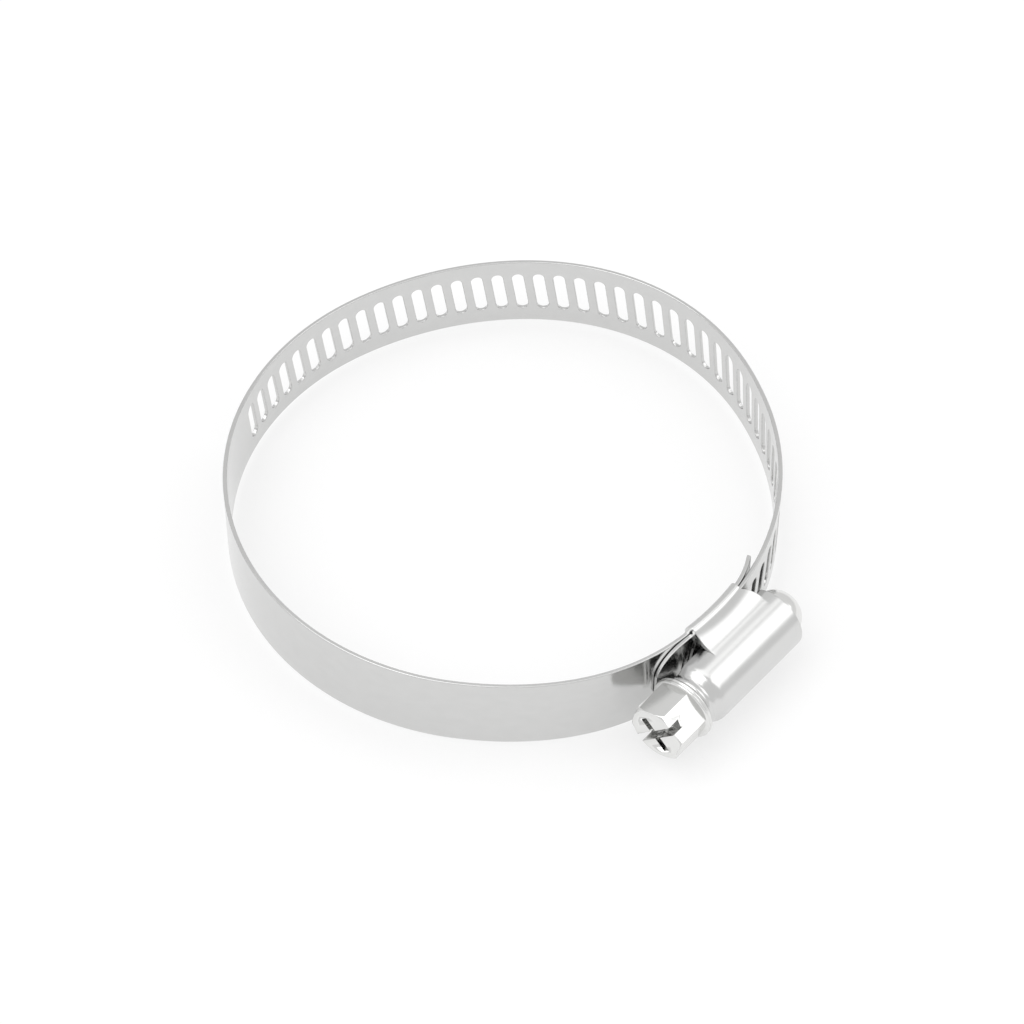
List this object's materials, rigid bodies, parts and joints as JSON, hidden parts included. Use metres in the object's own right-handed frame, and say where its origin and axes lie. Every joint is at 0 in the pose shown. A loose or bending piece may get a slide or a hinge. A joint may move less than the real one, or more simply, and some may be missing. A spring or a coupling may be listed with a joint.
{
  "type": "worm-drive hose clamp",
  "caption": "Stainless worm-drive hose clamp: a slotted steel band closed into a ring by a pressed housing and a hex-head worm screw.",
  "frame": {"origin": "centre of the hose bore, at the middle of the band's width", "axes": "+Z along the bore's axis, +X from the bore towards the screw, +Y along the screw from its head to its tip"},
  "size_m": [0.0893, 0.0828, 0.0146],
  "materials": {
    "band_steel": "bright rolled stainless strip with fine lengthwise lines and polished edges",
    "housing_steel": "bright pressed stainless sheet, slightly satin where it was drawn",
    "screw_steel": "bright cold-headed stainless, slightly worn at the hexagon's edges"
  },
  "bodies": {
    "housing_and_fixed_end": {"housing": "housing_steel", "band_fixed_end": "band_steel"},
    "screw": {"worm_screw": "screw_steel"},
    "free_end": {"band_free_end": "band_steel"},
    "link_01": {"band_link_01": "band_steel"},
    "link_02": {"band_link_02": "band_steel"},
    "link_03": {"band_link_03": "band_steel"},
    "link_04": {"band_link_04": "band_steel"},
    "link_05": {"band_link_05": "band_steel"},
    "link_06": {"band_link_06": "band_steel"},
    "link_07": {"band_link_07": "band_steel"},
    "link_08": {"band_link_08": "band_steel"}
  },
  "joints": [
    {"name": "screw_turn", "type": "hinge", "parent": "housing_and_fixed_end", "child": "screw", "pos_m": [0.0445, -0.001, 0], "axis": [0, 1, 0], "range_deg": [-360, 2160]},
    {"name": "free_end_feed", "type": "hinge", "parent": "housing_and_fixed_end", "child": "free_end", "pos_m": [-0.003, -0.001, 0], "axis": [0, 0, -1], "range_deg": [-4.21, 25.03]},
    {"name": "band_bend_01", "type": "hinge", "parent": "housing_and_fixed_end", "child": "link_01", "pos_m": [0.03886, -0.00969, 0], "axis": [0, 0, -1], "range_deg": [-0.88, 5.17]},
    {"name": "band_bend_02", "type": "hinge", "parent": "link_01", "child": "link_02", "pos_m": [0.02077, -0.03324, 0], "axis": [0, 0, -1], "range_deg": [-0.145, 0.769]},
    {"name": "band_bend_03", "type": "hinge", "parent": "link_02", "child": "link_03", "pos_m": [-0.0064, -0.03867, 0], "axis": [0, 0, -1], "range_deg": [-0.145, 0.769]},
    {"name": "band_bend_04", "type": "hinge", "parent": "link_03", "child": "link_04", "pos_m": [-0.02359, -0.03131, 0], "axis": [0, 0, -1], "range_deg": [-0.145, 0.769]},
    {"name": "band_bend_05", "type": "hinge", "parent": "link_04", "child": "link_05", "pos_m": [-0.03541, -0.01681, 0], "axis": [0, 0, -1], "range_deg": [-0.77, 4.51]},
    {"name": "band_bend_06", "type": "hinge", "parent": "link_05", "child": "link_06", "pos_m": [-0.03917, 0.00151, 0], "axis": [0, 0, -1], "range_deg": [-1.53, 9.07]},
    {"name": "band_bend_07", "type": "hinge", "parent": "link_08", "child": "link_07", "pos_m": [0.00371, 0.04215, 0], "axis": [0, 0, -1], "range_deg": [-0.769, 0.145]},
    {"name": "band_bend_08", "type": "hinge", "parent": "free_end", "child": "link_08", "pos_m": [0.02103, 0.03514, 0], "axis": [0, 0, -1], "range_deg": [-6.5, 1.1]}
  ],
  "couplings": [
    {"joint": "free_end_feed", "follows": "screw_turn", "ratio": 0.011563},
    {"joint": "band_bend_01", "follows": "screw_turn", "ratio": 0.0023855},
    {"joint": "band_bend_02", "follows": "screw_turn", "ratio": 0.0003469},
    {"joint": "band_bend_03", "follows": "screw_turn", "ratio": 0.0003469},
    {"joint": "band_bend_04", "follows": "screw_turn", "ratio": 0.0003469},
    {"joint": "band_bend_05", "follows": "screw_turn", "ratio": 0.0020768},
    {"joint": "band_bend_06", "follows": "screw_turn", "ratio": 0.0041906},
    {"joint": "band_bend_07", "follows": "screw_turn", "ratio": -0.0003469},
    {"joint": "band_bend_08", "follows": "screw_turn", "ratio": -0.0030018}
  ]
}
